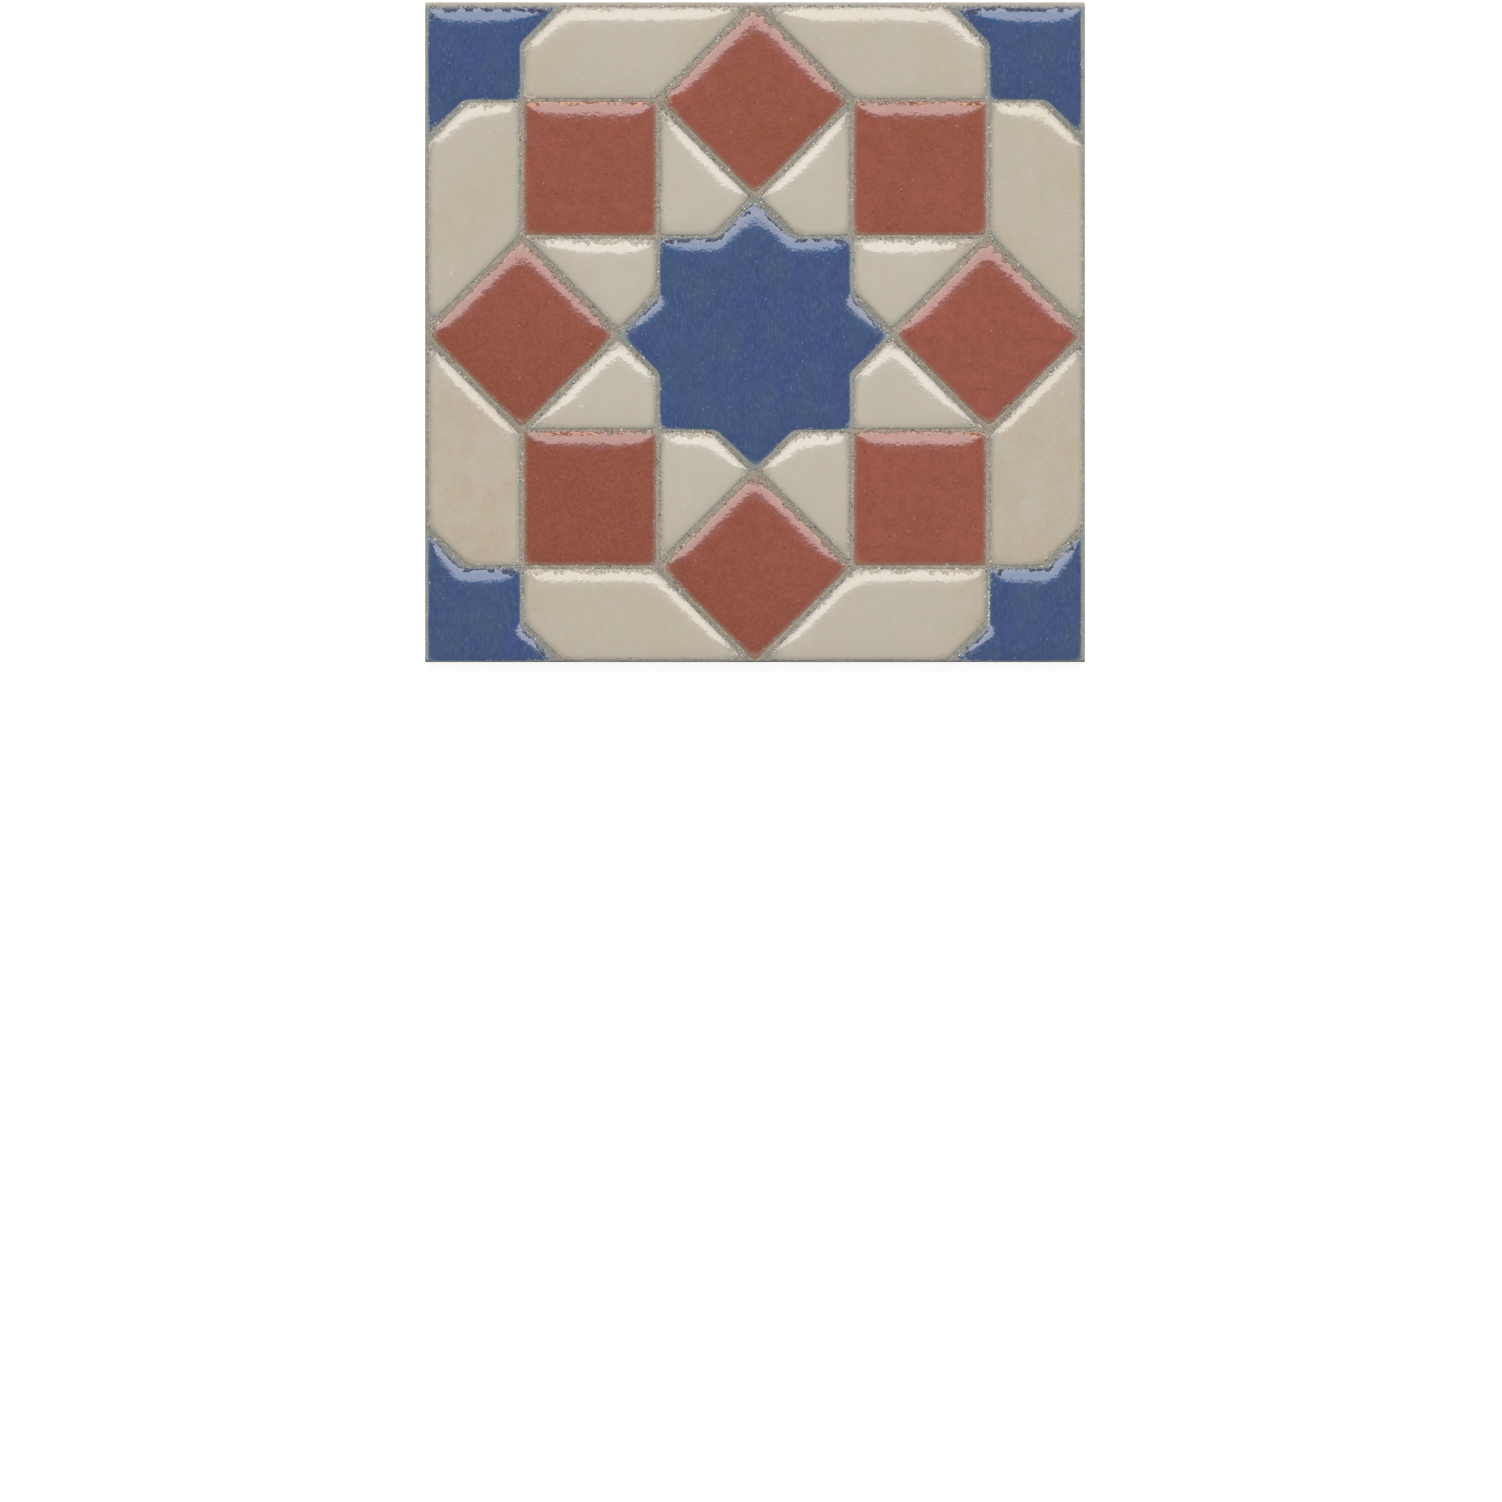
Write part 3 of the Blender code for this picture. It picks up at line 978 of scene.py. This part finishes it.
def make_cobalt_glaze():
    """Cobalt-blue glaze, glossy: mottled blue, faintly streaked from head to foot, with small pale specks."""
    material, tree, shader, space = new_material("blue_cobalt_glaze")
    clouds = clouded(tree, moved(tree, space, 0, 0, 1.0, 1.8), 7.0, 3.0, 0.38, 0.62)
    base = blend_colour(tree, clouds, "#31436F", "#364B66")
    streaks = clouded(tree, moved(tree, space, 0, 0, 1.0, 3.0), 0.45, 3.0, 0.47, 0.7, 0.0, 0.7)
    blots = clouded(tree, moved(tree, space, 8, 2), 2.4, 3.0, 0.35, 0.65, 0.0, 0.4)
    violet = clouded(tree, moved(tree, space, 3, 30), 4.0, 2.0, 0.5, 0.7, 0.0, 0.6)
    pale = specks(tree, moved(tree, space, 0, 0, 1.0, 1.7), 1.2, 0.15, 0.3)
    depth_in, headward = surface_value(tree, "edge_depth"), surface_value(tree, "headward")
    # Along head-facing edges, where the glints fall, the base is painted bluer, and lilac-grey nearer the
    # edge: a painted tint of the reflections.
    deep = product(tree, stretch(tree, depth_in, 2.9, 2.3), stretch(tree, headward, 0.8, 0.95, 0.0, 0.8))
    lilac = product(tree, stretch(tree, depth_in, 1.3, 0.8), stretch(tree, headward, 0.3, 0.6))
    crust = crust_cover(tree, space, 0.9)
    flakes = blend_colour(tree, clouded(tree, space, 0.4, 3.0, 0.42, 0.58), "#4A4E5A", "#8F9394")
    pulled = pulled_patches(tree, space, 3.0, 0.22, 0.85, 0.44, 0.62)
    slate = blend_colour(tree, clouded(tree, space, 0.5, 3.0, 0.42, 0.6), "#282C40", "#505469")
    base = layered(
        tree, base,
        (streaks, "#4B6082"), (blots, "#2C3D64"), (violet, "#3A4872"), (pale, "#62809E"),
        (thinning(tree, 0.35), "#667782"), (deep, "#204775"), (lilac, "#4E5774"), (crust, flakes),
        (pulled, slate),
    )
    ripple(tree, shader, space, 1.7, 0.02, 0.65, 0.02)
    glaze_surface(tree, shader, base, total(tree, crust, pulled), 0.05, 0.9)
    return material


def make_fired_clay():
    """Buff clay, pressed and fired, dull and grainy; the lines on its face are grey from the resist, its head
    rim is painted paler partly as light on that edge, and its foot edge is painted dark as a shadow.
    """
    material, tree, shader, space = new_material("fired_buff_clay")
    buff = blend_colour(tree, clouded(tree, space, 6.0, 3.0, 0.35, 0.65), "#B1A596", "#B8B3AA")
    grains = stretch(tree, mottle(tree, space, 0.4, 4.0, 0.7), 0.3, 0.7)
    buff = blend_colour(tree, stretch(tree, grains, 0.0, 1.0, 0.0, 0.3), buff, "#8F8370")
    grey = blend_colour(tree, clouded(tree, space, 1.5, 3.0, 0.35, 0.65), "#807B72", "#959084")
    middle = stretch(tree, surface_value(tree, "from_glaze"), 0.35, 0.75, 0.0, 0.45)
    falling = stretch(tree, surface_value(tree, "falling_line"), 0.0, 1.0, 0.0, 0.35)
    flecks = clouded(tree, moved(tree, space, 4, 4), 0.45, 2.0, 0.3, 0.56, 0.25, 1.0)
    grey = layered(tree, grey, (middle, "#756F66"), (falling, "#5F5A50"))
    grey = blend_colour(tree, flecks, "#605C52", grey)
    chalky = clouded(tree, moved(tree, space, 14, 4), 0.5, 2.0, 0.55, 0.68, 0.0, 0.6)
    blued = stretch(tree, surface_value(tree, "cobalt_fume"), 0.0, 1.0, 0.0, 0.45)
    rusted = stretch(tree, surface_value(tree, "iron_fume"), 0.0, 1.0, 0.0, 0.38)
    grey = layered(tree, grey, (chalky, "#B2ACA1"), (blued, "#728285"), (rusted, "#9C8268"))
    grey_and_rim_shade = surface_value(tree, "bare_line_and_rim_shade")
    # Buff where the grey fades at the head rim, partly a painted highlight of the lamp-facing edge.
    base = blend_colour(tree, stretch(tree, grey_and_rim_shade, 0.0, 1.0), buff, grey)
    # Near black past one: a painted shadow along the foot edge.
    base = blend_colour(tree, stretch(tree, grey_and_rim_shade, 1.1, 1.9), base, "#302D25")
    tree.links.new(base, shader.inputs["Base Color"])
    bump = add_node(tree, "ShaderNodeBump", {}, {"Height": grains, "Distance": 0.05 * MM})
    tree.links.new(bump.outputs["Normal"], shader.inputs["Normal"])
    shader.inputs["Roughness"].default_value = 0.85
    return material


def make_grit():
    """Quartz grit and grog burnt onto the lines: mostly grey, some grains pale and glassy, some dark."""
    material, tree, shader, _ = new_material("quartz_and_grog_grit")
    ramp = add_node(tree, "ShaderNodeValToRGB", {}, {"Fac": surface_value(tree, "grain_tone")})
    stops = ((0.0, "#48443B"), (0.3, "#706B61"), (0.55, "#8B857B"), (0.8, "#A8A298"), (1.0, "#E2DDD4"))
    ramp.color_ramp.elements[0].color = colour(stops[0][1])
    ramp.color_ramp.elements[1].color = colour(stops[-1][1])
    for place, code in stops[1:-1]:
        ramp.color_ramp.elements.new(place).color = colour(code)
    tree.links.new(ramp.outputs["Color"], shader.inputs["Base Color"])
    shader.inputs["Roughness"].default_value = 0.4
    return material


def make_bead_glaze_and_glints():
    """Tin-white glaze that spattered and beaded up on the resist: glossy little drops, some greyish, painted
    paler than the glaze itself, so that they are partly painted glints.
    """
    material, tree, shader, space = new_material("spattered_glaze_and_painted_glints")
    base = blend_colour(tree, clouded(tree, space, 1.0, 1.0, 0.4, 0.6), "#B9B5A8", "#DCD9D0")
    tree.links.new(base, shader.inputs["Base Color"])
    shader.inputs["Roughness"].default_value = 0.15
    return material


def make_floor_material():
    """Matte white board, lit a little from below as on a light table, so that the shadow stays faint."""
    material, _, shader, _ = new_material("white_light_table")
    shader.inputs["Base Color"].default_value = (0.5, 0.5, 0.5, 1.0)
    shader.inputs["Roughness"].default_value = 0.9
    shader.inputs["Emission Color"].default_value = (1.0, 1.0, 1.0, 1.0)
    shader.inputs["Emission Strength"].default_value = 0.75
    return material


# Studio

PHOTO_PIXELS = 1502
TILE_PIXELS = 660
TILE_RIGHT_OF_CENTRE_PIXELS = 4.0
TILE_ABOVE_CENTRE_PIXELS = 419.0
CAMERA_HEIGHT = 15.0
SENSOR_WIDTH = 36.0
FLOOR_GAP = 0.05  # so that the tile's flat back and the floor aren't in one plane
FLOOR_REACH = 30.0

# The long lamps hang at LAMP_HEIGHT and run from near to far towards the head, in shares of that height
LAMP_HEIGHT = 40.0
LONG_LAMPS = (
    ("long_lamp", 0.174, 0.72, 5.8, (1.0, 1.0, 1.0)),
    ("long_lamp_blue_border", 0.119, 0.174, 1.0, (0.3, 0.65, 1.0)),
)
LONG_LAMP_WIDTH = 6 * LAMP_HEIGHT
SOFT_LAMP_PLACE = (0, 3.0, 5.2)
SOFT_LAMP_SIDE = 4.0
SOFT_LAMP_WATTS = 400.0


def make_floor():
    mesh = bpy.data.meshes.new("studio_floor")
    outline = box_outline(-FLOOR_REACH, -FLOOR_REACH, FLOOR_REACH, FLOOR_REACH)
    corners = [(x, y, -FLOOR_GAP * MM) for x, y in outline]
    mesh.from_pydata(corners, [], [(0, 1, 2, 3)])
    mesh.materials.append(make_floor_material())
    floor = bpy.data.objects.new("studio_floor", mesh)
    bpy.context.scene.collection.objects.link(floor)


def make_area_light(name, centre, size_x, size_y, energy, aim=(0, 0, 0)):
    """A soft light that faces the aim point."""
    data = bpy.data.lights.new(name, "AREA")
    data.shape = "RECTANGLE"
    data.size = size_x
    data.size_y = size_y
    data.energy = energy
    light = bpy.data.objects.new(name, data)
    light.location = centre
    light.rotation_euler = (Vector(aim) - Vector(centre)).to_track_quat("-Z", "Y").to_euler()
    bpy.context.scene.collection.objects.link(light)
    light.visible_camera = False
    return light


def make_lights():
    """Long lamps towards the head for the glints, a soft lamp for the colours, and pale surroundings."""
    for name, near, far, radiance, tint in LONG_LAMPS:
        middle = (near + far) / 2 * LAMP_HEIGHT
        depth = (far - near) * LAMP_HEIGHT
        energy = radiance * math.pi * LONG_LAMP_WIDTH * depth
        centre = (0, middle, LAMP_HEIGHT)
        glint = make_area_light(name, centre, LONG_LAMP_WIDTH, depth, energy, aim=(0, middle, 0))
        glint.data.color = tint
        glint.visible_diffuse = False
    soft = make_area_light("soft_lamp", SOFT_LAMP_PLACE, SOFT_LAMP_SIDE, SOFT_LAMP_SIDE, SOFT_LAMP_WATTS)
    soft.visible_glossy = False
    world = bpy.data.worlds.new("pale_studio")
    world.use_nodes = True
    world.node_tree.nodes["Background"].inputs["Color"].default_value = (1.0, 1.0, 1.0, 1.0)
    world.node_tree.nodes["Background"].inputs["Strength"].default_value = 0.45
    bpy.context.scene.world = world


def make_camera():
    """Straight down, with the tile at the head of the frame and the camera over the frame's middle."""
    metres_per_pixel = TILE_SIDE * MM / TILE_PIXELS
    data = bpy.data.cameras.new("camera")
    data.sensor_width = SENSOR_WIDTH
    data.lens = SENSOR_WIDTH * CAMERA_HEIGHT / (PHOTO_PIXELS * metres_per_pixel)
    camera = bpy.data.objects.new("camera", data)
    camera.location = (
        -TILE_RIGHT_OF_CENTRE_PIXELS * metres_per_pixel,
        -TILE_ABOVE_CENTRE_PIXELS * metres_per_pixel,
        CAMERA_HEIGHT + TILE_TOP * MM,
    )
    bpy.context.scene.collection.objects.link(camera)
    bpy.context.scene.camera = camera
    bpy.context.scene.view_settings.view_transform = "Standard"


def main():
    pools = all_pools()
    body = make_clay_body(pools, make_fired_clay())
    pieces = [
        (body, "fired_clay"),
        (scatter_grains("line_grit", body, "grit_cover", GRIT_SIZES, make_grit()), "fired_clay"),
        (scatter_grains("glaze_beads_and_painted_glints", body, "bead_cover", BEAD_SIZES, make_bead_glaze_and_glints()), "ivory_glaze"),
        (make_glaze_pools(pools, IVORY, make_ivory_glaze()), "ivory_glaze"),
        (make_glaze_pools(pools, TERRACOTTA, make_terracotta_glaze()), "terracotta_glaze"),
        (make_glaze_pools(pools, COBALT, make_cobalt_glaze()), "blue_glaze"),
    ]
    for piece, slot in pieces:
        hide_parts("insert_tile")
        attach(piece, "root")
    make_floor()
    make_lights()
    make_camera()


main()
